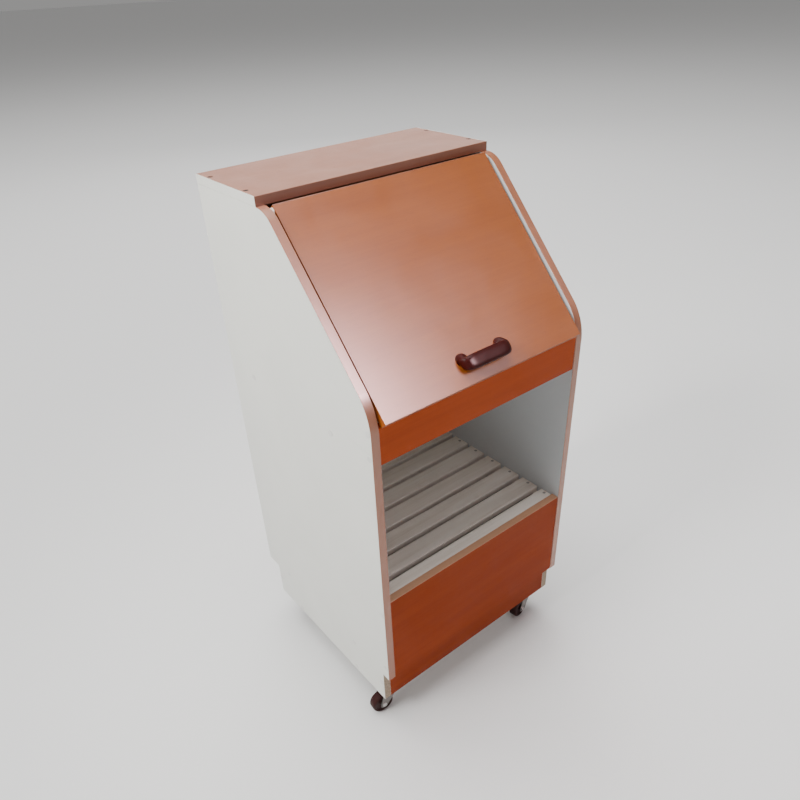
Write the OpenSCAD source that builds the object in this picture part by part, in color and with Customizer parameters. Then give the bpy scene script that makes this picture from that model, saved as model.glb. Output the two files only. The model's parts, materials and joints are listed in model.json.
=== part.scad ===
// Free-standing bread cabinet on casters: slanted flap lid over a bread bin,
// open slatted rack below, white side boards, cherry-finish fronts.
// Frame: +Z up, front towards -Y, origin on the floor under the middle of the
// overall plan outline, which includes the lid's front edge and the handle.

/* [Body] */
// Outside width across the two side boards
body_w = 500; // [460:5:560]
// Depth from the front edges of the sides to their rear edges
body_d = 474; // [460:2:500]
// Height of the top surface above the floor
body_h = 1072; // [1060:1:1090]
// Thickness of the white side boards
side_t = 16; // [15:1:20]
// Thickness of every other board
board_t = 16; // [15:0.5:18]
// Height of the lower ends of the side boards above the floor
foot_h = 80; // [78:1:84]
// Thickness of the edge banding on the front edges
band_t = 1; // [0.5:0.1:2]

/* [Side profile] */
// Angle of the slanted front above the horizontal, degrees
slant_a = 47; // [45:0.5:49]
// Height at which the slant would meet the vertical front edge
shoulder_z = 796; // [786:1:806]
// Radius of the round between the vertical edge and the slant
shoulder_r = 110; // [60:5:120]
// Radius of the round between the slant and the top
brow_r = 54; // [30:1:70]
// Depth of the cut-out at the front foot of each side
toe_d = 20; // [16:1:34]
// Depth of the skirting cut-out at the rear foot of each side
heel_d = 40; // [30:1:50]
// Height of both cut-outs
toe_h = 82; // [70:1:90]

/* [Fixed panels] */
// Front-to-back depth of the top board
top_d = 207; // [200:1:212]
// Height of the lower edge of the front rail
rail_z = 695.5; // [690:0.5:700]
// Height of the upper edge of the lower front panel
front_top_z = 378; // [360:1:400]
// How far the rail and front panels sit behind the side edges
front_inset = 1; // [0.5:0.5:3]
// Thickness of the hardboard back
back_t = 4; // [3:0.5:6]

/* [Slatted rack] */
// Distance from one slat to the next
slat_pitch = 56.3; // [54:0.1:57]
// Width of each slat
slat_w = 45; // [38:1:48]
// Thickness of each slat
slat_t = 14; // [10:1:18]
// Width of the bearers under the slat ends
bearer_w = 16; // [12:1:22]
// Height of the bearers
bearer_h = 30; // [20:1:40]

/* [Lid] */
// Thickness of the lid board
lid_t = 16; // [15:0.5:17]
// Clearance between each lid end and the side board
lid_gap = 5; // [3:0.5:6]
// How far the lid face lies under the slanted side edges
lid_sink = 5; // [2:0.5:8]
// Length of lid above the pivot line
lid_tail = 8; // [6:0.5:10]
// Length of lid below the pivot line
lid_len = 378; // [374:0.5:380]
// Diameter of the lid pivot pins
pivot_d = 6; // [5:0.5:7]

/* [Handle] */
// Distance between the two handle screws
handle_c = 88; // [64:1:128]
// Distance from the lower lid edge up to the handle screws
handle_s = 46; // [40:1:60]
// How far the grip drops below the screw line
handle_drop = 15; // [8:1:18]
// Clear finger depth under the grip
handle_gap = 15; // [12:1:22]
// Height of the grip section along the lid
grip_w = 23; // [16:1:26]
// Thickness of the grip section off the lid
grip_t = 10; // [8:1:14]

/* [Casters] */
// Wheel diameter
wheel_d = 50; // [46:1:54]
// Wheel width
wheel_w = 20; // [16:1:22]
// Distance from swivel axis to wheel axle
caster_trail = 24; // [22:1:26]
// Swivel axis distance from the centre plane
caster_x = 212; // [200:1:214]
// Swivel axis distance behind the front edges
caster_front = 54; // [50:1:70]
// Swivel axis distance in front of the rear edges
caster_rear = 80; // [72:1:96]
// Axle diameter
axle_d = 6; // [5:0.5:8]

/* [Hidden] */
$fn = 64;

y_mid = 8;                      // middle of the side boards behind the origin
yf = y_mid - body_d / 2;        // front edges of the sides
yr = y_mid + body_d / 2;        // rear edges of the sides
hw = body_w / 2;
iw = hw - side_t;               // inner face of each side
side_top = body_h - board_t;    // top of the side boards
top_y = yr - top_d;             // front edge of the top board
notch_z = foot_h + toe_h;
tn = tan(slant_a);
sn = sin(slant_a);
cs = cos(slant_a);
brow_y = yf + (side_top - shoulder_z) / tn;   // where the slant would meet the top

white_c = [0.87, 0.87, 0.85];
cherry_c = [0.66, 0.37, 0.20];
cherry_dark_c = [0.50, 0.25, 0.13];
slat_c = [0.74, 0.70, 0.64];
zinc_c = [0.60, 0.60, 0.60];
brown_c = [0.22, 0.10, 0.09];

// ---- pivot line of the lid -------------------------------------------------
// outer face of the lid: slant line moved inward by lid_sink
pivot_in = lid_t / 2;                                  // pivot lies mid-thickness
pivot_y = top_y - 15;
pivot_z = shoulder_z + (pivot_y - yf) * tn - (lid_sink + pivot_in) / cs;

// Places children in the lid frame: local x along the cabinet's X,
// local y down the slope from the pivot line, local z out of the lid's face.
module on_lid() translate([0, pivot_y, pivot_z]) rotate([180 + slant_a, 0, 0]) mirror([0, 0, 1]) children();

// ---- side profile ----------------------------------------------------------
// Draws in the Y-Z plane; k is how far the banded edges are moved inward.
// The arc is a hair larger than the tangent one, so it crosses both edges cleanly.
module corner_cut(v, t1, t2, c, r) difference() {
    polygon([t1, v + (v - c) * 0.2, t2, c]);
    translate(c) circle(r * 1.0009, $fn = 160);
}
module side_outline(k = 0) {
    fy = yf + k;
    zt = side_top - k;
    sz = shoulder_z - k / cs + k * tn;      // sharp shoulder corner after the inset
    by = fy + (zt - sz) / tn;               // sharp brow corner after the inset
    rs = shoulder_r - k;
    rb = min(brow_r - k, (top_y - by - 1) / tan(slant_a / 2));   // ends in front of the top board
    ts = rs * tan((90 - slant_a) / 2);      // tangent lengths
    tb = rb * tan(slant_a / 2);
    difference() {
        polygon([[fy, notch_z], [fy, sz], [by, zt], [top_y, zt], [top_y, side_top],
                 [yr, side_top], [yr, notch_z], [yr - heel_d, notch_z], [yr - heel_d, foot_h],
                 [yf + toe_d, foot_h], [yf + toe_d, notch_z]]);
        corner_cut([fy, sz], [fy, sz - ts], [fy + ts * cs, sz + ts * sn], [fy + rs, sz - ts], rs);
        corner_cut([by, zt], [by - tb * cs, zt - tb * sn], [by + tb, zt], [by + tb, zt - rb], rb);
    }
}
module in_yz(x0, t) translate([x0, 0, 0]) rotate([90, 0, 90]) linear_extrude(height = t) children();

// ---- fasteners -------------------------------------------------------------
// Screw along +Z with its head's flat top at z = 0 and its shank going down.
module screw(d, len, hd, hh) {
    rotate_extrude($fn = 32) polygon([[0, 0], [hd / 2, 0], [hd / 2, -0.4], [d / 2, -hh], [d / 2, -len + d], [0.3, -len], [0, -len]]);
}
// The hole for that screw, with a straight pocket of height up over its head.
module screw_hole(d, len, hd, hh, up) {
    rotate_extrude($fn = 32) polygon([[0, up], [hd / 2, up], [hd / 2, -0.4], [d / 2, -hh], [d / 2, -len + d], [0.3, -len], [0, -len]]);
}
module pan_screw(d, len, hd, hh) {
    difference() {
        union() {
            cylinder(d = hd, h = hh * 0.6, $fn = 32);
            translate([0, 0, hh * 0.6]) cylinder(d1 = hd, d2 = hd * 0.6, h = hh * 0.4, $fn = 32);
            translate([0, 0, -len]) cylinder(d = d, h = len + 0.1, $fn = 24);
        }
        translate([0, 0, hh - 0.9]) for (a = [0, 90]) rotate([0, 0, a]) translate([-hd * 0.3, -0.4, 0]) cube([hd * 0.6, 0.8, 2]);
    }
}
// carcass joint positions seen on the side: [y, z]
bin_z = rail_z + 2;                       // underside of the bin floor
bottom_z = foot_h;                        // underside of the base board
carcass_pts = [
    [yf + front_inset + board_t / 2, rail_z + 16],
    [yf + front_inset + board_t / 2, rail_z + 63],
    [yf + front_inset + board_t / 2, notch_z + 30],
    [yf + front_inset + board_t / 2, front_top_z - 30],
    [yf + toe_d + board_t / 2, foot_h + 50],
    [yf + 120, bin_z + board_t / 2],
    [yr - 90, bin_z + board_t / 2],
    [yf + 120, notch_z + board_t / 2],
    [yr - 90, notch_z + board_t / 2],
    [yf + 120, bottom_z + board_t / 2],
    [yr - 130, bottom_z + board_t / 2],
    [yr - heel_d - board_t / 2, foot_h + 50]];
module carcass_screw_set(s, extra = 0) for (p = carcass_pts)
    translate([s * (hw - 1.6), p[0], p[1]]) rotate([0, s * 90, 0]) screw(5, 50, 8, 3);
module carcass_hole_set(s) for (p = carcass_pts)
    translate([s * (hw - 1.6), p[0], p[1]]) rotate([0, s * 90, 0]) screw_hole(5, 50, 8, 3, 4);
module cap_set(s) for (p = carcass_pts)
    translate([s * hw, p[0], p[1]]) rotate([0, s * 90, 0]) translate([0, 0, -1.6]) {
        cylinder(d = 8, h = 1.6, $fn = 40);
        translate([0, 0, 1.6]) cylinder(d1 = 12, d2 = 10.5, h = 0.9, $fn = 40);
    }
top_screw_y = [yr - 40.5, yr - 165.5];
module top_screw_set() for (s = [-1, 1]) for (y = top_screw_y)
    translate([s * (hw - side_t / 2), y, body_h - 0.3]) screw(5, 48, 10, 4);
module top_screw_holes() for (s = [-1, 1]) for (y = top_screw_y)
    translate([s * (hw - side_t / 2), y, body_h - 0.3]) screw_hole(5, 48, 10, 4, 2);

// ---- carcass ---------------------------------------------------------------
module side_panel(s) color(white_c) difference() {
    in_yz(s > 0 ? iw : -hw, side_t) side_outline(band_t);
    carcass_hole_set(s);
    top_screw_holes();
    translate([s * (iw + 10), pivot_y, pivot_z]) rotate([0, -s * 90, 0]) cylinder(d = pivot_d, h = 30, $fn = 48);
    bearer_screw_set(s);
}
module edge_band(s) color(cherry_c) in_yz(s > 0 ? iw : -hw, side_t) difference() {
    side_outline(0);
    side_outline(band_t);
}
module top_panel() color(cherry_c) difference() {
    translate([-hw + band_t, top_y + band_t, side_top]) cube([body_w - 2 * band_t, top_d - band_t, board_t]);
    top_screw_holes();
}
module top_front_band() color(cherry_dark_c) translate([-hw, top_y, side_top]) cube([body_w, band_t, board_t]);
module top_end_bands() color(white_c) for (s = [-1, 1])
    translate([s > 0 ? hw - band_t : -hw, top_y + band_t, side_top]) cube([band_t, top_d - band_t, board_t]);
module back_panel() color([0.70, 0.66, 0.60]) translate([-iw, yr - back_t, notch_z]) cube([2 * iw, back_t, side_top - notch_z]);
module bin_floor() color(white_c) difference() {
    translate([-iw, yf + front_inset + board_t, bin_z]) cube([2 * iw, body_d - front_inset - board_t - back_t, board_t]);
    for (s = [-1, 1]) carcass_screw_set(s);
}
module compartment_floor() color(white_c) difference() {
    translate([-iw, yf + front_inset + board_t, notch_z]) cube([2 * iw, body_d - front_inset - board_t - back_t, board_t]);
    for (s = [-1, 1]) carcass_screw_set(s);
}
module base_board() color(white_c) difference() {
    translate([-iw, yf + toe_d + board_t, bottom_z]) cube([2 * iw, body_d - toe_d - heel_d - 2 * board_t, board_t]);
    for (s = [-1, 1]) carcass_screw_set(s);
    caster_screw_holes();
}
rail_top = shoulder_z + front_inset * tn - (lid_sink + lid_t) / cs - 0.8;
module front_rail() color(cherry_c) difference() {
    translate([-iw, yf + front_inset, rail_z]) cube([2 * iw, board_t, rail_top - rail_z]);
    for (s = [-1, 1]) carcass_screw_set(s);
}
module lower_front_panel() color(cherry_dark_c) difference() {
    translate([-iw, yf + front_inset, notch_z]) cube([2 * iw, board_t, front_top_z - band_t - notch_z]);
    for (s = [-1, 1]) carcass_screw_set(s);
}
module lower_front_band() color(cherry_c) translate([-iw, yf + front_inset, front_top_z - band_t]) cube([2 * iw, board_t, band_t]);
module kick_board_front() color(cherry_dark_c) difference() {
    translate([-iw, yf + toe_d, foot_h]) cube([2 * iw, board_t, toe_h]);
    for (s = [-1, 1]) carcass_screw_set(s);
    caster_screw_holes();
}
module kick_board_rear() color(white_c) difference() {
    translate([-iw, yr - heel_d - board_t, foot_h]) cube([2 * iw, board_t, toe_h]);
    for (s = [-1, 1]) carcass_screw_set(s);
    caster_screw_holes();
}

// ---- slatted rack ----------------------------------------------------------
rack_top = front_top_z - 3;
slat_n = 8;
first_w = slat_w - 17;                    // the front slat is ripped narrower to fit
function slat_w_of(i) = i == 1 ? first_w : slat_w;
function slat_y(i) = i == 1 ? yf + 53 - (slat_pitch - slat_w) / 2 - first_w / 2 : yf + 53 + (i - 1.5) * slat_pitch;
bearer_y = [yf + front_inset + board_t + 2, yr - back_t - 2];
module rack_bearer(s) color(slat_c) difference() {
    translate([s > 0 ? iw - bearer_w : -iw, bearer_y[0], rack_top - slat_t - bearer_h])
        cube([bearer_w, bearer_y[1] - bearer_y[0], bearer_h]);
    bearer_screw_set(s);
    slat_screw_set();
}
module bearer_screw_set(s) for (y = [bearer_y[0] + 40, 0, bearer_y[1] - 40])
    translate([s * (iw - bearer_w), y, rack_top - slat_t - bearer_h / 2]) rotate([0, -s * 90, 0]) screw(4, 28, 8, 3);
slat_rows = [for (i = [1:slat_n]) i];
module slat_screw_set() for (i = slat_rows) for (s = [-1, 1])
    translate([s * (iw - bearer_w / 2), slat_y(i), rack_top - 0.2]) screw(3.5, 30, 7, 2.6);
module slat_holes(i) for (s = [-1, 1])
    translate([s * (iw - bearer_w / 2), slat_y(i), rack_top - 0.2]) screw_hole(3.5, 30, 7, 2.6, 2);
module rack_slat(i) color(slat_c) {
    w = slat_w_of(i);
    difference() {
        translate([-iw + 0.5, slat_y(i) - w / 2, rack_top - slat_t]) cube([2 * iw - 1, w, slat_t]);
        slat_holes(i);
    }
}

// ---- lid pivots ------------------------------------------------------------
// Steel pin pressed into the side board, free to turn in the bush in the lid end.
module pivot_pin(s) color(zinc_c) translate([s * (iw - lid_gap - 12), pivot_y, pivot_z]) rotate([0, s * 90, 0]) cylinder(d = pivot_d, h = lid_gap + 22, $fn = 48);
module pivot_washer(s) color([0.85, 0.83, 0.80]) translate([s * iw, pivot_y, pivot_z]) rotate([0, -s * 90, 0]) difference() {
    cylinder(d = 13, h = lid_gap - 0.4, $fn = 48);
    translate([0, 0, -1]) cylinder(d = pivot_d, h = lid_gap + 2, $fn = 48);
}
lid_hw = iw - lid_gap;
module lid_bush(s) color([0.85, 0.83, 0.80]) translate([s * lid_hw, pivot_y, pivot_z]) rotate([0, -s * 90, 0]) difference() {
    cylinder(d = 10, h = 16, $fn = 48);
    translate([0, 0, -1]) cylinder(d = pivot_d + 0.1, h = 14.9, $fn = 48);
}

// ---- lid -------------------------------------------------------------------
module lid_panel() color(cherry_c) difference() {
    on_lid() translate([-lid_hw, -lid_tail + band_t, -pivot_in]) cube([2 * lid_hw, lid_tail + lid_len - 2 * band_t, lid_t]);
    for (s = [-1, 1]) translate([s * (lid_hw + 1), pivot_y, pivot_z]) rotate([0, -s * 90, 0]) cylinder(d = 10, h = 17, $fn = 48);
    handle_screw_holes();
}
module lid_lower_band() color(cherry_c) on_lid() translate([-lid_hw, lid_len - band_t, -pivot_in]) cube([2 * lid_hw, band_t, lid_t]);
module lid_upper_band() color(cherry_c) on_lid() translate([-lid_hw, -lid_tail, -pivot_in]) cube([2 * lid_hw, band_t, lid_t]);

// ---- handle ----------------------------------------------------------------
hy = lid_len - handle_s;                 // screw line, down the slope
hz = lid_t - pivot_in;                   // outer face of the lid
module handle_screw_holes() on_lid() for (s = [-1, 1]) translate([s * handle_c / 2, hy, -pivot_in - 1]) cylinder(d = 4, h = 40, $fn = 32);
module handle_screws() color(zinc_c) on_lid() for (s = [-1, 1])
    translate([s * handle_c / 2, hy, -pivot_in]) mirror([0, 0, 1]) pan_screw(4, 26, 8, 2.6);
module lid_handle() color(brown_c) on_lid() difference() {
    union() {
        for (s = [-1, 1]) {
            translate([s * handle_c / 2, hy, hz]) cylinder(d = 22, h = 3, $fn = 48);
            hull() {
                translate([s * handle_c / 2, hy, hz + 1]) cylinder(d = 19, h = 8, $fn = 32);
                translate([s * (handle_c / 2 - 2), hy + handle_drop * 0.75, hz + handle_gap + grip_t / 2]) scale([1, 1, 1]) sphere(d = grip_t + 3, $fn = 32);
            }
        }
        hull() for (s = [-1, 1]) for (t = [-1, 1])
            translate([s * (handle_c / 2 - 1), hy + handle_drop + t * (grip_w - grip_t) / 2, hz + handle_gap + grip_t / 2]) sphere(d = grip_t, $fn = 32);
    }
    for (s = [-1, 1]) translate([s * handle_c / 2, hy, hz - 1]) cylinder(d = 4, h = 11, $fn = 32);
}

// ---- casters ---------------------------------------------------------------
// [x, y, direction the wheel trails towards]
casters = [[-caster_x, yf + caster_front, 174], [caster_x, yf + caster_front, 190],
           [-caster_x, yr - caster_rear, 20], [caster_x, yr - caster_rear, 8]];
plate_l = 52;
plate_t = 2.5;
plate_pitch = 38;
fork_top = foot_h - plate_t - 9;          // underside of the ball race
module at_caster(i) translate([casters[i][0], casters[i][1], 0]) rotate([0, 0, casters[i][2]]) children();
module caster_plate(i) color(zinc_c) translate([casters[i][0], casters[i][1], 0]) difference() {
    union() {
        translate([-plate_l / 2, -plate_l / 2, foot_h - plate_t]) cube([plate_l, plate_l, plate_t]);
        translate([0, 0, foot_h - plate_t - 5]) cylinder(d = 34, h = 5.1, $fn = 64);
        // king pin and its riveted lower head
        translate([0, 0, fork_top - 6.2]) cylinder(d = 9, h = 12, $fn = 48);
        translate([0, 0, fork_top - 6.2]) cylinder(d = 15, h = 2, $fn = 48);
    }
    for (x = [-1, 1]) for (y = [-1, 1]) translate([x * plate_pitch / 2, y * plate_pitch / 2, foot_h - 10]) cylinder(d = 4.5, h = 20, $fn = 32);
}
module caster_screw_holes() for (c = casters) for (x = [-1, 1]) for (y = [-1, 1])
    translate([c[0] + x * plate_pitch / 2, c[1] + y * plate_pitch / 2, foot_h - 1]) cylinder(d = 4, h = 14, $fn = 32);
module caster_screws() color(zinc_c) for (c = casters) for (x = [-1, 1]) for (y = [-1, 1])
    translate([c[0] + x * plate_pitch / 2, c[1] + y * plate_pitch / 2, foot_h - plate_t]) mirror([0, 0, 1]) pan_screw(4, 14, 8, 2.4);
cheek_in = wheel_w / 2 + 1.5;             // inner face of each fork cheek
cheek_t = 2;
axle_z = wheel_d / 2;
module fork(i) color(zinc_c) at_caster(i) difference() {
    union() {
        translate([0, 0, fork_top - 2.5]) cylinder(d = 36, h = 5.9, $fn = 64);
        translate([-2, -cheek_in - cheek_t, fork_top - 2.5]) cube([20, 2 * (cheek_in + cheek_t), 2.5]);
        for (s = [-1, 1]) translate([0, s > 0 ? cheek_in + cheek_t : -cheek_in, 0]) rotate([90, 0, 0]) linear_extrude(height = cheek_t)
            polygon([[-13, fork_top], [18, fork_top], [caster_trail + 8, axle_z + 4], [caster_trail + 8, axle_z - 6], [caster_trail + 3, axle_z - 9], [caster_trail - 5, axle_z - 9], [-13, fork_top - 10]]);
    }
    translate([0, 0, fork_top - 10]) cylinder(d = 9.1, h = 30, $fn = 48);
    translate([caster_trail, 0, axle_z]) rotate([90, 0, 0]) cylinder(d = axle_d, h = 60, center = true, $fn = 48);
}
module wheel(i) color(brown_c) at_caster(i) translate([caster_trail, 0, axle_z]) rotate([90, 0, 0]) difference() {
    union() {
        rotate_extrude($fn = 96) polygon([[6, -wheel_w / 2 + 3], [wheel_d / 2 - 5, -wheel_w / 2 + 3], [wheel_d / 2 - 5, -wheel_w / 2],
            [wheel_d / 2 - 2.5, -wheel_w / 2], [wheel_d / 2, -wheel_w / 2 + 3.5], [wheel_d / 2, wheel_w / 2 - 3.5], [wheel_d / 2 - 2.5, wheel_w / 2],
            [wheel_d / 2 - 5, wheel_w / 2], [wheel_d / 2 - 5, wheel_w / 2 - 3], [6, wheel_w / 2 - 3]]);
        cylinder(d = 14, h = wheel_w + 1, center = true, $fn = 48);
    }
    cylinder(d = axle_d + 0.1, h = 60, center = true, $fn = 48);
}
module axle(i) color(zinc_c) at_caster(i) translate([caster_trail, 0, axle_z]) rotate([90, 0, 0]) {
    cylinder(d = axle_d, h = 2 * (cheek_in + cheek_t), center = true, $fn = 48);
    for (s = [-1, 1]) translate([0, 0, s * (cheek_in + cheek_t + 1)]) cylinder(d = 10, h = 2, center = true, $fn = 48);
}

side_panel(-1);  // side_panel_left
side_panel(1);  // side_panel_right
edge_band(-1);  // edge_band_left
edge_band(1);  // edge_band_right
top_panel();
top_front_band();
top_end_bands();
back_panel();
bin_floor();
compartment_floor();
base_board();
front_rail();
lower_front_panel();
lower_front_band();
kick_board_front();
kick_board_rear();
rack_bearer(-1);  // rack_bearer_left
rack_bearer(1);  // rack_bearer_right
rack_slat(1);  // rack_slat_1
rack_slat(2);  // rack_slat_2
rack_slat(3);  // rack_slat_3
rack_slat(4);  // rack_slat_4
rack_slat(5);  // rack_slat_5
rack_slat(6);  // rack_slat_6
rack_slat(7);  // rack_slat_7
rack_slat(8);  // rack_slat_8
color(zinc_c) slat_screw_set();  // slat_screws
color(zinc_c) for (s = [-1, 1]) bearer_screw_set(s);  // bearer_screws
color(zinc_c) for (s = [-1, 1]) carcass_screw_set(s);  // carcass_screws
color(white_c) for (s = [-1, 1]) cap_set(s);  // screw_caps
color([0.25, 0.18, 0.15]) top_screw_set();  // top_screws
pivot_pin(-1);  // pivot_pin_left
pivot_pin(1);  // pivot_pin_right
pivot_washer(-1);  // pivot_washer_left
pivot_washer(1);  // pivot_washer_right
lid_panel();
lid_lower_band();
lid_upper_band();
lid_bush(-1);  // lid_bush_left
lid_bush(1);  // lid_bush_right
lid_handle();
handle_screws();
caster_plate(0);  // caster_plate_front_left
caster_plate(1);  // caster_plate_front_right
caster_plate(2);  // caster_plate_rear_left
caster_plate(3);  // caster_plate_rear_right
caster_screws();
fork(0);  // fork_front_left
fork(1);  // fork_front_right
fork(2);  // fork_rear_left
fork(3);  // fork_rear_right
wheel(0);  // wheel_front_left
wheel(1);  // wheel_front_right
wheel(2);  // wheel_rear_left
wheel(3);  // wheel_rear_right
axle(0);  // axle_front_left
axle(1);  // axle_front_right
axle(2);  // axle_rear_left
axle(3);  // axle_rear_right
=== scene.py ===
import json
import math
import bpy
import bmesh
import numpy as np
from mathutils import Vector, Matrix


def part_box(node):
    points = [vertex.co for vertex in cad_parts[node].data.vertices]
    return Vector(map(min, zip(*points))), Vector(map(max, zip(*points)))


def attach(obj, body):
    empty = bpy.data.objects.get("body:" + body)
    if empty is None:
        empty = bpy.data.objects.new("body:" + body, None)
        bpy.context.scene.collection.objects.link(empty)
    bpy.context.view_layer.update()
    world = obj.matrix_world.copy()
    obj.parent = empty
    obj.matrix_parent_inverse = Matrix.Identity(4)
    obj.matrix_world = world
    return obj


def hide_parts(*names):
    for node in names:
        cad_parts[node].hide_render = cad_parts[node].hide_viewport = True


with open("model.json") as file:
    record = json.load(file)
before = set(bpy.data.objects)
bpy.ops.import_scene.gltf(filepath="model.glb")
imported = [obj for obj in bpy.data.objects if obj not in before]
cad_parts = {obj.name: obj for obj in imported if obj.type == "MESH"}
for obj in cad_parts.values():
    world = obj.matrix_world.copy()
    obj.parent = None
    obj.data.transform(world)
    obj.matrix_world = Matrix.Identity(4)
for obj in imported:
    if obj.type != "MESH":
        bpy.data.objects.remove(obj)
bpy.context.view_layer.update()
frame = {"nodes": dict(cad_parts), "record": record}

NODES = frame["nodes"]
BODY_OF = {}
for body_name, members in frame["record"]["behaviour"]["bodies"].items():
    for member in members:
        BODY_OF[member] = body_name
SLOT_OF = {s["node"]: s["material_slot"] for s in frame["record"]["subparts"]}
MM = 0.001


# ---------------------------------------------------------------- materials
def srgb(r, g, b):
    def f(c):
        c /= 255.0
        return c / 12.92 if c <= 0.04045 else ((c + 0.055) / 1.055) ** 2.4
    return (f(r), f(g), f(b), 1.0)


class Mat:
    """A small helper that wires one procedural material."""

    def __init__(self, name):
        self.m = bpy.data.materials.new(name)
        self.m.use_nodes = True
        self.t = self.m.node_tree
        self.t.nodes.clear()
        self.out = self.t.nodes.new("ShaderNodeOutputMaterial")
        self.p = self.t.nodes.new("ShaderNodeBsdfPrincipled")
        self.t.links.new(self.p.outputs[0], self.out.inputs[0])
        self.co = self.t.nodes.new("ShaderNodeTexCoord").outputs["Object"]

    def link(self, a, b):
        self.t.links.new(a, b)

    def scaled(self, sx, sy, sz, rot=(0, 0, 0), src=None):
        n = self.t.nodes.new("ShaderNodeMapping")
        n.inputs["Scale"].default_value = (sx, sy, sz)
        n.inputs["Rotation"].default_value = rot
        self.link(src or self.co, n.inputs["Vector"])
        return n.outputs[0]

    def noise(self, vec, scale=1.0, detail=4.0, rough=0.55, dist=0.0):
        n = self.t.nodes.new("ShaderNodeTexNoise")
        n.inputs["Scale"].default_value = scale
        n.inputs["Detail"].default_value = detail
        n.inputs["Roughness"].default_value = rough
        n.inputs["Distortion"].default_value = dist
        self.link(vec, n.inputs["Vector"])
        return n.outputs["Fac"]

    def voronoi(self, vec, scale=1.0, feature="F1"):
        n = self.t.nodes.new("ShaderNodeTexVoronoi")
        n.feature = feature
        n.inputs["Scale"].default_value = scale
        self.link(vec, n.inputs["Vector"])
        return n.outputs["Distance"]

    def ramp(self, fac, stops):
        n = self.t.nodes.new("ShaderNodeValToRGB")
        e = n.color_ramp.elements
        while len(e) < len(stops):
            e.new(0.5)
        for el, (pos, col) in zip(e, stops):
            el.position = pos
            el.color = col if len(col) == 4 else (*col, 1.0)
        self.link(fac, n.inputs[0])
        return n.outputs[0]

    def maprange(self, fac, a, b, c, d):
        n = self.t.nodes.new("ShaderNodeMapRange")
        for k, v in zip(("From Min", "From Max", "To Min", "To Max"), (a, b, c, d)):
            n.inputs[k].default_value = v
        self.link(fac, n.inputs["Value"])
        return n.outputs[0]

    def math(self, op, a, b=None):
        n = self.t.nodes.new("ShaderNodeMath")
        n.operation = op
        for i, v in enumerate((a, b)):
            if v is None:
                continue
            if isinstance(v, (int, float)):
                n.inputs[i].default_value = v
            else:
                self.link(v, n.inputs[i])
        return n.outputs[0]

    def mix(self, fac, a, b, mode="MIX"):
        n = self.t.nodes.new("ShaderNodeMix")
        n.data_type = "RGBA"
        n.blend_type = mode
        if isinstance(fac, (int, float)):
            n.inputs["Factor"].default_value = fac
        else:
            self.link(fac, n.inputs["Factor"])
        for key, v in (("A", a), ("B", b)):
            s = [i for i in n.inputs if i.name == key and i.type == "RGBA"][0]
            if isinstance(v, tuple):
                s.default_value = v
            else:
                self.link(v, s)
        return [o for o in n.outputs if o.type == "RGBA"][0]

    def edge(self):
        n = self.t.nodes.new("ShaderNodeAttribute")
        n.attribute_name = "edge"
        return n.outputs["Fac"]

    def bump(self, height, strength, distance, normal=None):
        n = self.t.nodes.new("ShaderNodeBump")
        n.inputs["Strength"].default_value = strength
        n.inputs["Distance"].default_value = distance
        self.link(height, n.inputs["Height"])
        if normal is not None:
            self.link(normal, n.inputs["Normal"])
        return n.outputs[0]

    def set(self, **k):
        for key, v in k.items():
            s = self.p.inputs[key.replace("_", " ")]
            if isinstance(v, (int, float, tuple)):
                s.default_value = v
            else:
                self.link(v, s)
        return self.m


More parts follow.
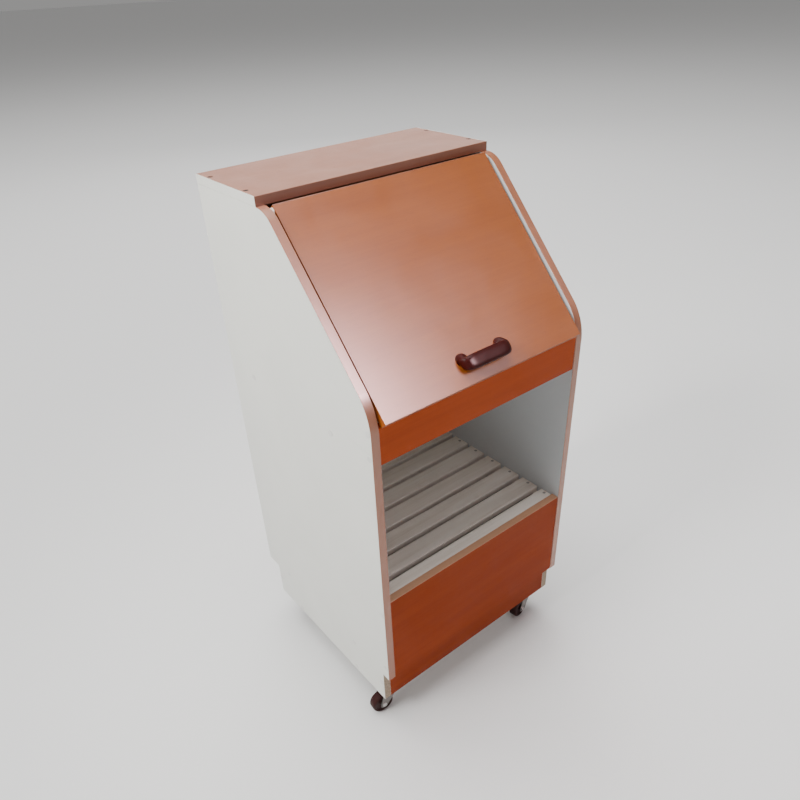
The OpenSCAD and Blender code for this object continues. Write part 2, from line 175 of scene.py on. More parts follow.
def wood_print(name, dark, mid, light, grain=(1, 0, 0), rough=0.36, coat=0.25, wear=0.35, seed=0.0, spec=0.5):
    """Cherry-pattern melamine foil: long soft grain along one axis, fine pores and a satin face."""
    m = Mat(name)
    g = Vector(grain)

    def sc(along, across):
        return [across + (along - across) * abs(c) for c in g]
    off = m.t.nodes.new("ShaderNodeVectorMath")
    off.operation = "ADD"
    off.inputs[1].default_value = (seed, seed * 1.7, seed * 0.6)
    m.link(m.co, off.inputs[0])
    base = off.outputs[0]
    broad = m.noise(m.scaled(*sc(1.1, 10.0), src=base), 1.0, 3.0, 0.5, 1.4)
    streak = m.noise(m.scaled(*sc(3.0, 85.0), src=base), 1.0, 6.0, 0.62, 0.35)
    fine = m.noise(m.scaled(*sc(14.0, 420.0), src=base), 1.0, 3.0, 0.6, 0.1)
    pores = m.noise(m.scaled(*sc(60.0, 1500.0), src=base), 1.0, 2.0, 0.5, 0.0)
    tone = m.math("ADD", m.math("MULTIPLY", broad, 0.55), m.math("MULTIPLY", streak, 0.45))
    col = m.ramp(tone, [(0.32, dark), (0.5, mid), (0.68, light)])
    pore_mask = m.ramp(pores, [(0.58, (0, 0, 0, 1)), (0.72, (1, 1, 1, 1))])
    col = m.mix(m.math("MULTIPLY", m.maprange(fine, 0.3, 0.7, 0.0, 1.0), 0.22), col, dark)
    col = m.mix(m.math("MULTIPLY", pore_mask, 0.28), col, tuple(c * 0.45 for c in dark[:3]) + (1.0,))
    patch = m.noise(m.scaled(3, 3, 3, src=base), 1.0, 2.0, 0.5, 0.0)
    col = m.mix(m.maprange(patch, 0.35, 0.7, 0.0, 0.16), col, light)
    worn = m.math("MULTIPLY", m.edge(), m.maprange(m.noise(m.scaled(45, 45, 45), 1.0, 3.0), 0.4, 0.62, 0.15, 1.0))
    col = m.mix(m.math("MULTIPLY", worn, wear), col, (min(1, light[0] * 1.5), min(1, light[1] * 1.6), min(1, light[2] * 1.7), 1.0))
    smear = m.noise(m.scaled(9, 9, 9), 1.0, 4.0, 0.6, 0.6)
    r = m.math("ADD", m.maprange(smear, 0.3, 0.7, rough - 0.05, rough + 0.07), m.math("MULTIPLY", pore_mask, 0.12))
    h = m.math("SUBTRACT", m.math("MULTIPLY", streak, 0.25), m.math("MULTIPLY", pore_mask, 0.6))
    peel = m.noise(m.scaled(900, 900, 900), 1.0, 1.0)
    n1 = m.bump(h, 0.25, 0.00012)
    n2 = m.bump(peel, 0.06, 0.00008, n1)
    m.set(Specular_IOR_Level=spec)
    return m.set(Base_Color=col, Roughness=r, Normal=n2, Coat_Weight=coat, Coat_Roughness=0.26, IOR=1.5)


def white_board(name, base=(0.74, 0.735, 0.70), rough=0.42):
    """White melamine-faced board: faint mottle, fine pearl texture, rubbed edges and light handling marks."""
    m = Mat(name)
    c0 = (*base, 1.0)
    c1 = (base[0] * 0.93, base[1] * 0.935, base[2] * 0.93, 1.0)
    mott = m.noise(m.scaled(6, 6, 6), 1.0, 4.0, 0.6, 0.5)
    col = m.mix(m.maprange(mott, 0.35, 0.7, 0.0, 0.6), c0, c1)
    speck = m.noise(m.scaled(1300, 1300, 1300), 1.0, 1.0)
    col = m.mix(m.math("MULTIPLY", m.ramp(speck, [(0.62, (0, 0, 0, 1)), (0.72, (1, 1, 1, 1))]), 0.10), col, (0.52, 0.51, 0.48, 1))
    scuff = m.noise(m.scaled(2.5, 2.5, 22), 1.0, 5.0, 0.65, 1.2)
    col = m.mix(m.math("MULTIPLY", m.ramp(scuff, [(0.63, (0, 0, 0, 1)), (0.74, (1, 1, 1, 1))]), 0.10), col, (0.42, 0.40, 0.36, 1))
    worn = m.math("MULTIPLY", m.edge(), m.maprange(m.noise(m.scaled(60, 60, 60), 1.0, 3.0), 0.42, 0.66, 0.1, 0.9))
    col = m.mix(m.math("MULTIPLY", worn, 0.4), col, (0.40, 0.36, 0.31, 1))
    r = m.maprange(m.noise(m.scaled(11, 11, 11), 1.0, 4.0, 0.6, 0.4), 0.3, 0.7, rough - 0.05, rough + 0.09)
    pearl = m.noise(m.scaled(1100, 1100, 1100), 1.0, 2.0)
    return m.set(Base_Color=col, Roughness=r, Normal=m.bump(pearl, 0.10, 0.00008), Coat_Weight=0.08, Coat_Roughness=0.3, IOR=1.5)


def slat_wood(name):
    """Pale planed timber with open grain along the slat."""
    m = Mat(name)
    d, mid, l = srgb(222, 212, 199), srgb(240, 232, 222), srgb(246, 241, 234)
    streak = m.noise(m.scaled(4, 130, 130), 1.0, 6.0, 0.6, 0.6)
    broad = m.noise(m.scaled(1.6, 26, 26), 1.0, 3.0, 0.5, 1.2)
    tone = m.math("ADD", m.math("MULTIPLY", broad, 0.5), m.math("MULTIPLY", streak, 0.5))
    col = m.ramp(tone, [(0.3, d), (0.5, mid), (0.7, l)])
    pores = m.ramp(m.noise(m.scaled(70, 1400, 1400), 1.0, 2.0), [(0.6, (0, 0, 0, 1)), (0.72, (1, 1, 1, 1))])
    col = m.mix(m.math("MULTIPLY", pores, 0.25), col, srgb(168, 150, 128))
    worn = m.math("MULTIPLY", m.edge(), m.noise(m.scaled(50, 50, 50), 1.0, 3.0))
    col = m.mix(m.math("MULTIPLY", worn, 0.35), col, srgb(150, 132, 108))
    h = m.math("SUBTRACT", m.math("MULTIPLY", streak, 0.5), m.math("MULTIPLY", pores, 0.6))
    return m.set(Base_Color=col, Roughness=m.maprange(streak, 0.3, 0.7, 0.5, 0.68), Normal=m.bump(h, 0.5, 0.0002), IOR=1.45)


def hardboard(name):
    m = Mat(name)
    fib = m.noise(m.scaled(160, 160, 160), 1.0, 6.0, 0.7, 1.0)
    fine = m.noise(m.scaled(1200, 1200, 1200), 1.0, 2.0)
    col = m.ramp(fib, [(0.3, srgb(120, 92, 62)), (0.52, srgb(146, 114, 80)), (0.75, srgb(166, 134, 98))])
    col = m.mix(m.maprange(m.noise(m.scaled(5, 5, 5), 1.0, 3.0), 0.35, 0.7, 0.0, 0.3), col, srgb(128, 100, 72))
    worn = m.math("MULTIPLY", m.edge(), 0.4)
    col = m.mix(worn, col, srgb(180, 152, 116))
    return m.set(Base_Color=col, Roughness=m.maprange(fib, 0.3, 0.7, 0.5, 0.66), Normal=m.bump(m.math("ADD", fib, fine), 0.3, 0.00015))


def plastic(name, base, rough=0.35, grain=600.0, bump=0.12, coat=0.0, edge_col=None, edge_amt=0.3, spread=0.12, spec=0.5):
    m = Mat(name)
    b = srgb(*base)
    d = tuple(c * (1 - spread) for c in b[:3]) + (1.0,)
    mott = m.noise(m.scaled(70, 70, 70), 1.0, 3.0)
    col = m.mix(m.maprange(mott, 0.3, 0.7, 0.0, 1.0), b, d)
    ec = srgb(*(edge_col or tuple(min(255, int(c * 1.25) + 12) for c in base)))
    col = m.mix(m.math("MULTIPLY", m.math("MULTIPLY", m.edge(), mott), edge_amt), col, ec)
    tex = m.noise(m.scaled(grain, grain, grain), 1.0, 2.0)
    r = m.maprange(m.noise(m.scaled(30, 30, 30), 1.0, 3.0, 0.6, 0.4), 0.3, 0.7, rough - 0.05, rough + 0.1)
    m.set(Specular_IOR_Level=spec)
    return m.set(Base_Color=col, Roughness=r, Normal=m.bump(tex, bump, 0.0001), Coat_Weight=coat, Coat_Roughness=0.15, IOR=1.5)


def metal(name, base, rough=0.32, brushed=(600, 60, 60), tarnish=(0.25, 0.22, 0.2), amt=0.35):
    m = Mat(name)
    b = srgb(*base)
    br = m.noise(m.scaled(*brushed), 1.0, 4.0, 0.6)
    blot = m.noise(m.scaled(90, 90, 90), 1.0, 4.0, 0.6, 0.6)
    col = m.mix(m.math("MULTIPLY", m.ramp(blot, [(0.5, (0, 0, 0, 1)), (0.72, (1, 1, 1, 1))]), amt), b, (*tarnish, 1.0))
    col = m.mix(m.math("MULTIPLY", m.edge(), 0.5), col, tuple(min(1.0, c * 1.35) for c in b[:3]) + (1.0,))
    r = m.math("ADD", m.maprange(br, 0.3, 0.7, rough - 0.06, rough + 0.08), m.maprange(blot, 0.5, 0.75, 0.0, 0.15))
    return m.set(Base_Color=col, Metallic=0.95, Roughness=r, Normal=m.bump(br, 0.12, 0.00006))


def lin(r, g, b, k=1.0):
    return (r * k, g * k, b * k, 1.0)


def cherry_set(name, mid, spread=0.2, **kw):
    """A foil whose streaks run darker and lighter than its middle tone."""
    return wood_print(name, lin(mid[0] * (1 - spread), mid[1] * (1 - spread * 1.35), mid[2] * (1 - spread * 1.5)),
                      lin(*mid), lin(mid[0] * (1 + spread * 0.8), mid[1] * (1 + spread * 1.15), mid[2] * (1 + spread * 1.4)), **kw)


cherry = cherry_set("cherry_foil", (0.34, 0.085, 0.010), 0.13, rough=0.33, coat=0.55, spec=0.35)
cherry_top = cherry_set("cherry_foil_top", (0.29, 0.085, 0.024), 0.12, rough=0.36, coat=0.35, seed=2.2)
# The front rail, lower front panel and kick board share one cherry foil. Their copies step darker from the rail down
# to the kick board: painted shade for the light falling off down the front.
cherry_rail = cherry_set("cherry_foil_rail", (0.43, 0.062, 0.006), 0.16, rough=0.45, coat=0.0, spec=0.08, seed=3.1)
cherry_shaded_low = cherry_set("cherry_foil_painted_shade_low", (0.29, 0.041, 0.006), 0.16, rough=0.5, coat=0.0, spec=0.06, seed=7.3)
cherry_shaded_kick = cherry_set("cherry_foil_painted_shade_kick", (0.28, 0.040, 0.006), 0.16, rough=0.5, coat=0.0, spec=0.06, seed=9.7)
cherry_edge = cherry_set("cherry_edging", (0.34, 0.105, 0.035), 0.14, grain=(0, 0, 1), rough=0.36, coat=0.7, wear=0.5, seed=1.9)
cherry_edge_x = cherry_set("cherry_edging_x", (0.26, 0.085, 0.032), 0.16, rough=0.42, coat=0.1, wear=0.4, seed=5.0)
# A much lighter, pinker copy of the edging for the band on top of the lower front panel: a painted sheen on that edge.
cherry_edge_sheen_low = cherry_set("cherry_edging_painted_sheen_low", (0.52, 0.27, 0.15), 0.12, rough=0.42, coat=0.1, wear=0.4, seed=6.1)
white = white_board("white_melamine", (0.80, 0.80, 0.745))
# A darker, blue-grey copy of the white melamine for the inward faces of the side boards: painted shade for the dim
# inside of the cabinet.
white_shaded_inner = white_board("white_melamine_painted_shade_inner", (0.60, 0.635, 0.65), 0.48)


def chip(name):
    """Raw sawn chipboard: packed flakes with small dark gaps."""
    m = Mat(name)
    flakes = m.noise(m.scaled(420, 420, 420), 1.0, 4.0, 0.6, 0.8)
    pits = m.voronoi(m.scaled(700, 700, 700))
    col = m.ramp(flakes, [(0.3, lin(0.20, 0.14, 0.09)), (0.5, lin(0.33, 0.25, 0.17)), (0.7, lin(0.46, 0.37, 0.26))])
    hole = m.ramp(pits, [(0.08, (1, 1, 1, 1)), (0.2, (0, 0, 0, 1))])
    col = m.mix(m.math("MULTIPLY", hole, 0.5), col, lin(0.08, 0.055, 0.035))
    worn = m.math("MULTIPLY", m.edge(), 0.3)
    col = m.mix(worn, col, lin(0.5, 0.46, 0.4))
    return m.set(Base_Color=col, Roughness=m.maprange(flakes, 0.3, 0.7, 0.7, 0.9), Normal=m.bump(m.math("SUBTRACT", flakes, hole), 0.5, 0.0003))


chipboard = chip("raw_chipboard")
slat_mat = slat_wood("pale_slat")
back_mat = hardboard("hardboard")
cap_mat = plastic("white_cap", (226, 225, 220), rough=0.38, edge_col=(190, 186, 178))
nylon = plastic("nylon", (214, 208, 196), rough=0.42)
handle_mat = plastic("brown_handle", (58, 15, 13), rough=0.30, grain=420.0, bump=0.08, coat=0.0, edge_amt=0.2, spec=0.12)
wheel_mat = plastic("brown_tyre", (54, 20, 17), rough=0.45, grain=700.0, bump=0.3, spec=0.2)
zinc = metal("zinc_plate", (122, 121, 118), rough=0.42)
zinc_screw = metal("zinc_screw", (176, 174, 168), rough=0.3, brushed=(900, 900, 900))
steel = metal("bright_steel", (186, 186, 184), rough=0.24, amt=0.15)
dark_screw = metal("dark_screw", (62, 46, 40), rough=0.4, tarnish=(0.05, 0.03, 0.02))

# Slot names come from model.json. The cherry_board_dark slot takes the darker lower-front copy, which is painted
# shade.
MAT = {
    "white_board": white, "cherry_board": cherry, "cherry_board_dark": cherry_shaded_low, "cherry_edge": cherry_edge,
    "hardboard": back_mat, "slat_wood": slat_mat, "white_cap": cap_mat, "zinc_screw": zinc_screw,
    "dark_screw": dark_screw, "steel_pin": steel, "nylon": nylon, "brown_handle": handle_mat,
    "caster_metal": zinc, "wheel_brown": wheel_mat,
}
NODE_MAT = {"front_rail": cherry_rail, "top_panel": cherry_top, "top_front_band": cherry_edge_x, "lower_front_band": cherry_edge_sheen_low,
            "kick_board_front": cherry_shaded_kick, "lid_lower_band": cherry_edge_x, "lid_upper_band": cherry_edge_x}


# ---------------------------------------------------------------- mesh tools
def put_material(ob, mat):
    ob.data.materials.clear()
    ob.data.materials.append(mat)


def new_piece(name, bm, mat, node, smooth=True):
    """Turns a bmesh into a piece that stands for a CAD node."""
    me = bpy.data.meshes.new(name)
    bmesh.ops.recalc_face_normals(bm, faces=bm.faces)
    bm.to_mesh(me)
    bm.free()
    if smooth:
        me.shade_smooth()
    ob = bpy.data.objects.new(name, me)
    bpy.context.scene.collection.objects.link(ob)
    put_material(ob, mat)
    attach(ob, BODY_OF[node])
    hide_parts(node)
    return ob


def weighted(ob):
    w = ob.modifiers.new("weighted_normals", "WEIGHTED_NORMAL")
    w.keep_sharp = True
    w.weight = 100


def soften(node, width, segs=2, name=None, small=0.03, mat=None):
    """Copies a CAD node, joins its coplanar triangles and rounds its long sharp edges."""
    src = NODES[node]
    bm = bmesh.new()
    bm.from_mesh(src.data)
    bmesh.ops.remove_doubles(bm, verts=bm.verts, dist=2e-6)
    bmesh.ops.dissolve_limit(bm, angle_limit=math.radians(0.4), use_dissolve_boundaries=False,
                             verts=bm.verts, edges=bm.edges, delimit={"NORMAL"})
    bm.normal_update()
    sharp = [e for e in bm.edges if len(e.link_faces) == 2 and e.calc_face_angle(0) > math.radians(28)]
    left = set(sharp)
    chosen = []
    while left:
        e0 = left.pop()
        comp, todo = [e0], [e0]
        while todo:
            e = todo.pop()
            for v in e.verts:
                for f in v.link_edges:
                    if f in left:
                        left.discard(f)
                        comp.append(f)
                        todo.append(f)
        co = np.array([v.co for e in comp for v in e.verts])
        if np.linalg.norm(co.max(0) - co.min(0)) > small:
            chosen += comp
    layer = bm.faces.layers.float.new("edge")
    res = bmesh.ops.bevel(bm, geom=chosen, offset=width, offset_type="OFFSET", segments=segs, profile=0.5,
                          affect="EDGES", clamp_overlap=True, material=-1)
    for f in res["faces"]:
        f[layer] = 1.0
    bad = [e for e in bm.edges if len(e.link_faces) != 2]
    if bad:
        print("soften: open edges on", node, len(bad))
    for e in bm.edges:
        e.smooth = len(e.link_faces) == 2 and e.calc_face_angle(0) < math.radians(40)
    ob = new_piece(name or node + "_v", bm, mat or NODE_MAT.get(node) or MAT[SLOT_OF[node]], node)
    weighted(ob)
    return ob


def lathe(bm, profile, place, steps=64, layer=None):
    """Turns a closed profile of (radius, height) about the local Z axis; ends on the axis close it."""
    rings = []
    for r, z in profile:
        if r < 1e-7:
            rings.append([bm.verts.new(place @ Vector((0, 0, z)))])
        else:
            rings.append([bm.verts.new(place @ Vector((r * math.cos(2 * math.pi * i / steps), r * math.sin(2 * math.pi * i / steps), z))) for i in range(steps)])
    n = len(rings)
    closed = not (len(rings[0]) == 1 and len(rings[-1]) == 1)
    for k in range(n if closed else n - 1):
        a, b = rings[k], rings[(k + 1) % n]
        for i in range(steps):
            j = (i + 1) % steps
            if len(a) == 1 and len(b) == 1:
                continue
            if len(a) == 1:
                bm.faces.new((a[0], b[i], b[j]))
            elif len(b) == 1:
                bm.faces.new((a[i], a[j], b[0]))
            else:
                bm.faces.new((a[i], a[j], b[j], b[i]))
    return rings


# ---------------------------------------------------------------- boards
for node, width, segs in (
        ("side_panel_left", 0.35 * MM, 2), ("side_panel_right", 0.35 * MM, 2),
        ("edge_band_left", 0.42 * MM, 2), ("edge_band_right", 0.42 * MM, 2),
        ("top_panel", 0.4 * MM, 2), ("top_front_band", 0.42 * MM, 2), ("top_end_bands", 0.42 * MM, 2),
        ("back_panel", 0.6 * MM, 2), ("bin_floor", 0.4 * MM, 2), ("compartment_floor", 0.4 * MM, 2), ("base_board", 0.4 * MM, 2),
        ("front_rail", 0.7 * MM, 3), ("lower_front_panel", 0.4 * MM, 2), ("lower_front_band", 0.42 * MM, 2),
        ("kick_board_front", 0.6 * MM, 2), ("kick_board_rear", 0.6 * MM, 2),
        ("rack_bearer_left", 1.0 * MM, 2), ("rack_bearer_right", 1.0 * MM, 2),
        ("lid_panel", 0.35 * MM, 2), ("lid_lower_band", 0.42 * MM, 2), ("lid_upper_band", 0.42 * MM, 2)):
    soften(node, width, segs)
RAW = ("side_panel_left", "side_panel_right")
# Side boards: cut edges take raw chipboard, and inward faces take the darker inner copy of the melamine, which is
# painted shade.
for node in RAW:
    ob = bpy.data.objects[node + "_v"]
    ob.data.materials.append(chipboard)
    ob.data.materials.append(white_shaded_inner)
    inward = -1.0 if ob.data.vertices[0].co.x > 0 else 1.0
    for f in ob.data.polygons:
        if abs(f.normal.x) < 0.2 and f.area > 2e-6:
            f.material_index = 1
        elif f.normal.x * inward > 0.5:
            f.material_index = 2
for i in range(1, 9):
    soften("rack_slat_%d" % i, 1.6 * MM, 3)
for pos in ("front_left", "front_right", "rear_left", "rear_right"):
    soften("fork_" + pos, 0.45 * MM, 2, small=0.012)
    soften("caster_plate_" + pos, 0.4 * MM, 2, small=0.012)

# ---------------------------------------------------------------- detail pieces
def islands(node):
    """The boxes of a CAD node's separate solids, sorted so that the order never changes."""
    bm = bmesh.new()
    bm.from_mesh(NODES[node].data)
    bmesh.ops.remove_doubles(bm, verts=bm.verts, dist=2e-6)
    seen, out = set(), []
    bm.verts.ensure_lookup_table()
    for v in bm.verts:
        if v in seen:
            continue
        todo, group = [v], []
        seen.add(v)
        while todo:
            a = todo.pop()
            group.append(a.co.copy())
            for e in a.link_edges:
                b = e.other_vert(a)
                if b not in seen:
                    seen.add(b)
                    todo.append(b)
        pts = np.array(group)
        out.append((pts.min(0), pts.max(0)))
    bm.free()
    return sorted(out, key=lambda t: tuple(np.round(t[0] + t[1], 5)))


def frame_to(z_axis, origin, turn=0.0):
    """A place whose local Z points along z_axis, turned about it."""
    z = Vector(z_axis).normalized()
    x = Vector((1, 0, 0)) if abs(z.x) < 0.9 else Vector((0, 1, 0))
    y = z.cross(x).normalized()
    x = y.cross(z).normalized()
    m = Matrix((x, y, z)).transposed().to_4x4()
    m.translation = Vector(origin)
    return m @ Matrix.Rotation(turn, 4, "Z")


def arc(cx, cy, r, a0, a1, n=6):
    return [(cx + r * math.cos(math.radians(a0 + (a1 - a0) * i / n)), cy + r * math.sin(math.radians(a0 + (a1 - a0) * i / n))) for i in range(n + 1)]


def cut_cross(ob, places, width, length, depth):
    """Cuts a tapered cross recess into every screw head."""
    bm = bmesh.new()
    for pl in places:
        for a in (0, math.pi / 2):
            m = pl @ Matrix.Rotation(a, 4, "Z")
            vs = []
            for z, k in ((depth * 0.6, 1.25), (-depth, 0.55)):
                for x, y in ((-1, -1), (1, -1), (1, 1), (-1, 1)):
                    vs.append(bm.verts.new(m @ Vector((x * length / 2 * k, y * width / 2 * (1.0 if k > 1 else 0.8), z))))
            a4, b4 = vs[:4], vs[4:]
            bm.faces.new(a4[::-1])
            bm.faces.new(b4)
            for i in range(4):
                j = (i + 1) % 4
                bm.faces.new((a4[i], a4[j], b4[j], b4[i]))
    bmesh.ops.recalc_face_normals(bm, faces=bm.faces)
    me = bpy.data.meshes.new("cutter")
    bm.to_mesh(me)
    bm.free()
    cut = bpy.data.objects.new("cutter", me)
    bpy.context.scene.collection.objects.link(cut)
    mod = ob.modifiers.new("recess", "BOOLEAN")
    mod.operation = "DIFFERENCE"
    mod.object = cut
    mod.solver = "EXACT"
    mod.use_self = True
    bpy.context.view_layer.update()
    dg = bpy.context.evaluated_depsgraph_get()
    done = bpy.data.meshes.new_from_object(ob.evaluated_get(dg))
    ob.modifiers.clear()
    old = ob.data
    mats = [m for m in old.materials]
    ob.data = done
    ob.data.materials.clear()
    for m in mats:
        ob.data.materials.append(m)
    bpy.data.objects.remove(cut)


def sharp_by_angle(ob, deg=35):
    bm = bmesh.new()
    bm.from_mesh(ob.data)
    for f in bm.faces:
        f.smooth = True
    for e in bm.edges:
        e.smooth = len(e.link_faces) == 2 and e.calc_face_angle(0) < math.radians(deg)
    bm.to_mesh(ob.data)
    bm.free()


# white snap caps over the carcass screws
bm = bmesh.new()
for lo, hi in islands("screw_caps"):
    c = (lo + hi) / 2
    s = 1 if c[0] > 0 else -1
    outer = hi[0] if s > 0 else lo[0]
    inner = lo[0] if s > 0 else hi[0]
    h = abs(outer - inner)
    place = frame_to((s, 0, 0), (inner, c[1], c[2]))
    rim = h - 0.9 * MM
    prof = [(0, 0), (3.95 * MM, 0), (3.95 * MM, rim), (5.9 * MM, rim)] + \
        [(5.6 * MM + 0.35 * MM * math.cos(a), rim + 0.35 * MM + 0.3 * MM * math.sin(a)) for a in (0.0, 0.6, 1.2)] + \
        [(r * MM, h - (0.02 + 0.42 * (r / 5.4) ** 3) * MM) for r in (5.3, 4.6, 3.6, 2.4, 1.2)] + [(0, h)]
    lathe(bm, prof, place, 36)
new_piece("screw_caps_v", bm, cap_mat, "screw_caps")
sharp_by_angle(bpy.data.objects["screw_caps_v"])

# countersunk screws along the ends of the top board
bm = bmesh.new()
heads = []
for lo, hi in islands("top_screws"):
    c = (lo + hi) / 2
    place = frame_to((0, 0, 1), (c[0], c[1], hi[2]), 0.5 + 7.0 * abs(c[0]) + 11.0 * c[1])
    length = hi[2] - lo[2]
    prof = [(0, -length), (0.3 * MM, -length), (2.3 * MM, -length + 5 * MM), (2.3 * MM, -4 * MM), (4.75 * MM, -0.75 * MM), (4.95 * MM, -0.35 * MM), (4.75 * MM, -0.05 * MM), (4.2 * MM, 0), (0, 0)]
    lathe(bm, prof, place, 36)
    heads.append(place)
top_sc = new_piece("top_screws_v", bm, dark_screw, "top_screws")
cut_cross(top_sc, heads, 1.1 * MM, 4.6 * MM, 2.2 * MM)
sharp_by_angle(top_sc)

# the bow handle: a round foot at each end swept into a flat, finger-shaped grip
U = Vector((0, -math.cos(math.radians(47)), -math.sin(math.radians(47))))
N = Vector((0, -math.sin(math.radians(47)), math.cos(math.radians(47))))


def lid_extent(node, axis):
    co = [Vector(v.co).dot(axis) for v in NODES[node].data.vertices]
    return min(co), max(co)


h_u = lid_extent("lid_handle", U)
h_n = lid_extent("lid_handle", N)
h_x = lid_extent("lid_handle", Vector((1, 0, 0)))
foot_r = 11 * MM
foot_x = h_x[1] - foot_r
u0, n0 = h_u[0] + foot_r, h_n[0]
top_n = h_n[1]


def handle_point(x, y, z):
    return Vector((x, 0, 0)) + U * (u0 + y) + N * (n0 + z)


ctrl = [(-foot_x, 0, 0.0), (-foot_x, 0.6 * MM, 3.0 * MM), (-foot_x - 1.2 * MM, 3.6 * MM, 6.2 * MM), (-foot_x - 2.4 * MM, 8.2 * MM, 10.2 * MM),
        (-foot_x - 0.8 * MM, 11.6 * MM, 14.8 * MM), (-foot_x + 6.0 * MM, 12.7 * MM, 17.8 * MM), (-foot_x + 19.0 * MM, 12.9 * MM, 18.6 * MM), (0, 12.9 * MM, 18.6 * MM)]
half = [(11.0, 11.0, 2.0), (10.4, 10.2, 2.0), (10.1, 8.8, 2.0), (10.6, 7.6, 2.1), (11.9, 6.7, 2.3), (12.9, 6.2, 2.6), (13.3, 6.0, 2.9), (13.3, 6.0, 3.0)]


def catmull(p, t):
    n = len(p) - 1
    x = min(max(t * n, 0.0), n - 1e-9)
    i = int(x)
    f = x - i
    a, b, c, d = (np.array(p[max(min(k, n), 0)], float) for k in (i - 1, i, i + 1, i + 2))
    if i == 0:
        a = 2 * b - c
    if i + 2 > n:
        d = np.array([-c[0] * 0 + (2 * c - b)[0], *(2 * c - b)[1:]])
    return 0.5 * ((2 * b) + (c - a) * f + (2 * a - 5 * b + 4 * c - d) * f ** 2 + (3 * b - a - 3 * c + d) * f ** 3)


full_c = ctrl + [(-x, y, z) for x, y, z in reversed(ctrl[:-1])]
full_h = half + list(reversed(half[:-1]))
RINGS, SIDE = 120, 40
bm = bmesh.new()
rings = []
for i in range(RINGS + 1):
    t = i / RINGS
    p = catmull(full_c, t)
    q = catmull(full_c, min(1, t + 0.002)) - catmull(full_c, max(0, t - 0.002))
    tangent = Vector(q).normalized()
    if i in (0, RINGS):
        tangent = Vector((0, 0, 1 if i == 0 else -1))
    ya = Vector((0, 1, 0))
    a_ax = (ya - tangent * ya.dot(tangent)).normalized()
    b_ax = tangent.cross(a_ax).normalized()
    ha, hb, ex = catmull(full_h, t)
    ring = []
    for k in range(SIDE):
        an = 2 * math.pi * k / SIDE
        ca, sa = math.cos(an), math.sin(an)
        a = ha * MM * math.copysign(abs(ca) ** (2 / ex), ca)
        b = hb * MM * math.copysign(abs(sa) ** (2 / ex), sa)
        v = Vector(p) + a_ax * a + b_ax * b
        v.z = min(max(v.z, 0.0), top_n - n0)
        v.y = min(max(v.y, h_u[0] - u0), h_u[1] - u0)
        ring.append(bm.verts.new(handle_point(v.x, v.y, v.z)))
    rings.append(ring)
for a, b in zip(rings, rings[1:]):
    for k in range(SIDE):
        j = (k + 1) % SIDE
        bm.faces.new((a[k], a[j], b[j], b[k]))
bm.faces.new(rings[0][::-1])
bm.faces.new(rings[-1])
new_piece("lid_handle_v", bm, handle_mat, "lid_handle")
sharp_by_angle(bpy.data.objects["lid_handle_v"], 50)

# caster wheels: moulded tread, recessed disc, hub
for pos in ("front_left", "front_right", "rear_left", "rear_right"):
    node = "wheel_" + pos
    lo, hi = (np.array(v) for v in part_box(node))
    c = (lo + hi) / 2
    r = (hi[2] - lo[2]) / 2
    plate = (np.array(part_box("caster_plate_" + pos)[0]) + np.array(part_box("caster_plate_" + pos)[1])) / 2
    trail = Vector((c[0] - plate[0], c[1] - plate[1], 0)).normalized()
    axis = Vector((0, 0, 1)).cross(trail)
    w = 10 * MM
    place = frame_to(axis, c)
    outer = [(r - 5.0 * MM, -w)] + arc(r - 4.1 * MM, -w + 4.1 * MM, 4.1 * MM, -90, -8, 8) + \
        [(r - 0.02 * MM, -2 * MM), (r, 0), (r - 0.02 * MM, 2 * MM)] + arc(r - 4.1 * MM, w - 4.1 * MM, 4.1 * MM, 8, 90, 8) + [(r - 5.0 * MM, w)]
    prof = [(3.06 * MM, -w - 0.5 * MM), (6.6 * MM, -w - 0.5 * MM), (7.0 * MM, -w), (7.0 * MM, -w + 3.2 * MM), (8.0 * MM, -w + 4.0 * MM), (r - 7.0 * MM, -w + 4.0 * MM), (r - 5.8 * MM, -w + 3.2 * MM), (r - 5.4 * MM, -w + 0.4 * MM)] + \
        outer + [(r - 5.4 * MM, w - 0.4 * MM), (r - 5.8 * MM, w - 3.2 * MM), (r - 7.0 * MM, w - 4.0 * MM), (8.0 * MM, w - 4.0 * MM), (7.0 * MM, w - 3.2 * MM), (7.0 * MM, w), (6.6 * MM, w + 0.5 * MM), (3.06 * MM, w + 0.5 * MM)]
    bm = bmesh.new()
    lathe(bm, prof, place, 96)
    new_piece(node + "_v", bm, wheel_mat, node)
    sharp_by_angle(bpy.data.objects[node + "_v"])

# carried-over CAD nodes keep their shape and get their material
shown = set(NODES)
for node, ob in NODES.items():
    put_material(ob, NODE_MAT.get(node) or MAT[SLOT_OF[node]])

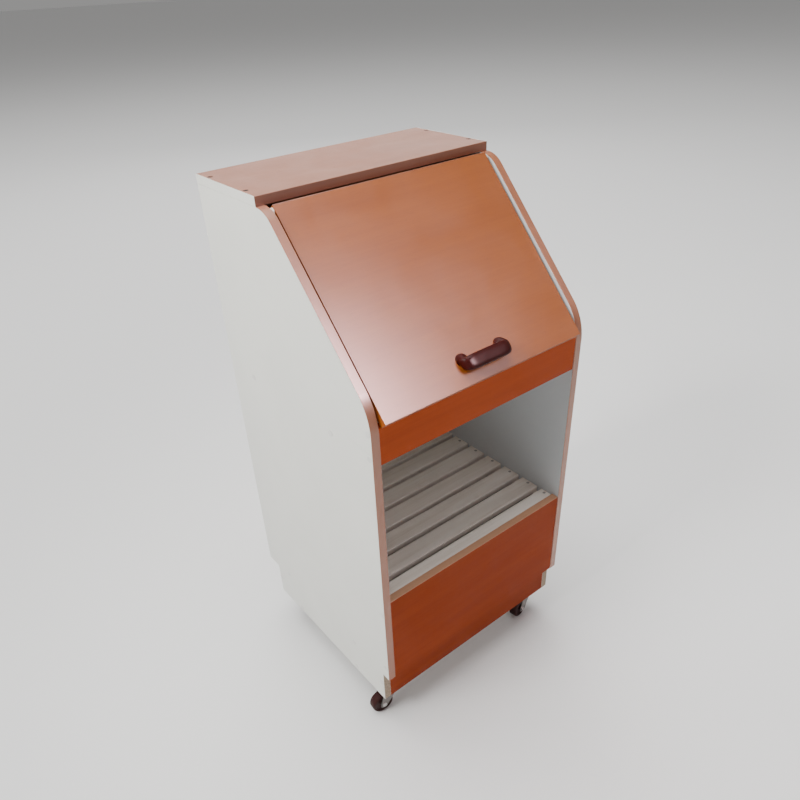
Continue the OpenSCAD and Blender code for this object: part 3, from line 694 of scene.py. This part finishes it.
# ---------------------------------------------------------------- stage, light, camera
floor_me = bpy.data.meshes.new("floor")
fb = bmesh.new()
bmesh.ops.create_circle(fb, cap_ends=True, cap_tris=False, segments=96, radius=45.0)
fb.to_mesh(floor_me)
fb.free()
floor = bpy.data.objects.new("floor", floor_me)
bpy.context.scene.collection.objects.link(floor)
fm = Mat("pale_floor")
fn = fm.noise(fm.scaled(3, 3, 3), 1.0, 4.0)
floor.data.materials.append(fm.set(Base_Color=fm.mix(fm.maprange(fn, 0.3, 0.7, 0.0, 0.3), (0.86, 0.86, 0.86, 1), (0.84, 0.84, 0.84, 1)), Roughness=fm.maprange(fn, 0.3, 0.7, 0.7, 0.8)))

world = bpy.data.worlds.new("studio")
bpy.context.scene.world = world
world.use_nodes = True
bg = world.node_tree.nodes.get("Background") or world.node_tree.nodes.new("ShaderNodeBackground")
bg.inputs[0].default_value = (1.0, 0.99, 0.975, 1.0)
bg.inputs[1].default_value = 0.3


def area(name, loc, target, size, power, color=(1, 1, 1)):
    li = bpy.data.lights.new(name, "AREA")
    li.shape = "SQUARE"
    li.size = size
    li.energy = power
    li.color = color
    ob = bpy.data.objects.new(name, li)
    ob.location = loc
    d = Vector(target) - Vector(loc)
    ob.rotation_euler = d.to_track_quat("-Z", "Y").to_euler()
    bpy.context.scene.collection.objects.link(ob)
    return ob


area("overhead", (0.0, 1.5, 8.0), (0, 0.5, 0), 7.0, 900.0, (1.0, 0.995, 0.985))
key = area("key", (-2.3, 0.15, 2.5), (-0.2, 0.0, 0.98), 1.0, 10.8, (1.0, 0.995, 0.97))
key.data.spread = 1.0
sheen = area("sheen", (0.4, -1.62, 2.2), (-0.2, -0.2, 0.8), 0.9, 190.0, (1.0, 0.67, 0.71))
sheen.visible_diffuse = False
area("backdrop", (2.8, 4.2, 2.7), (0, 0.1, 1.0), 3.0, 30.0, (1.0, 0.97, 0.97))

cam_data = bpy.data.cameras.new("camera")
cam = bpy.data.objects.new("camera", cam_data)
bpy.context.scene.collection.objects.link(cam)
bpy.context.scene.camera = cam
cam_data.sensor_fit = "HORIZONTAL"
cam_data.sensor_width = 36.0
cam_data.lens = 700.926 / 800.0 * 36.0
cam_data.shift_x = (400.0 - 393.525) / 800.0
cam_data.shift_y = (441.105 - 400.0) / 800.0
cam_data.clip_end = 200.0
right = Vector((0.781793, -0.62199, -0.043899))
down = Vector((-0.381704, -0.421724, -0.822466))
fwd = Vector((0.493053, 0.659755, -0.567117))
rot = Matrix((right, -down, -fwd)).transposed()
cam.matrix_world = Matrix.Translation((-0.75727, -0.96506, 1.36457)) @ rot.to_4x4()
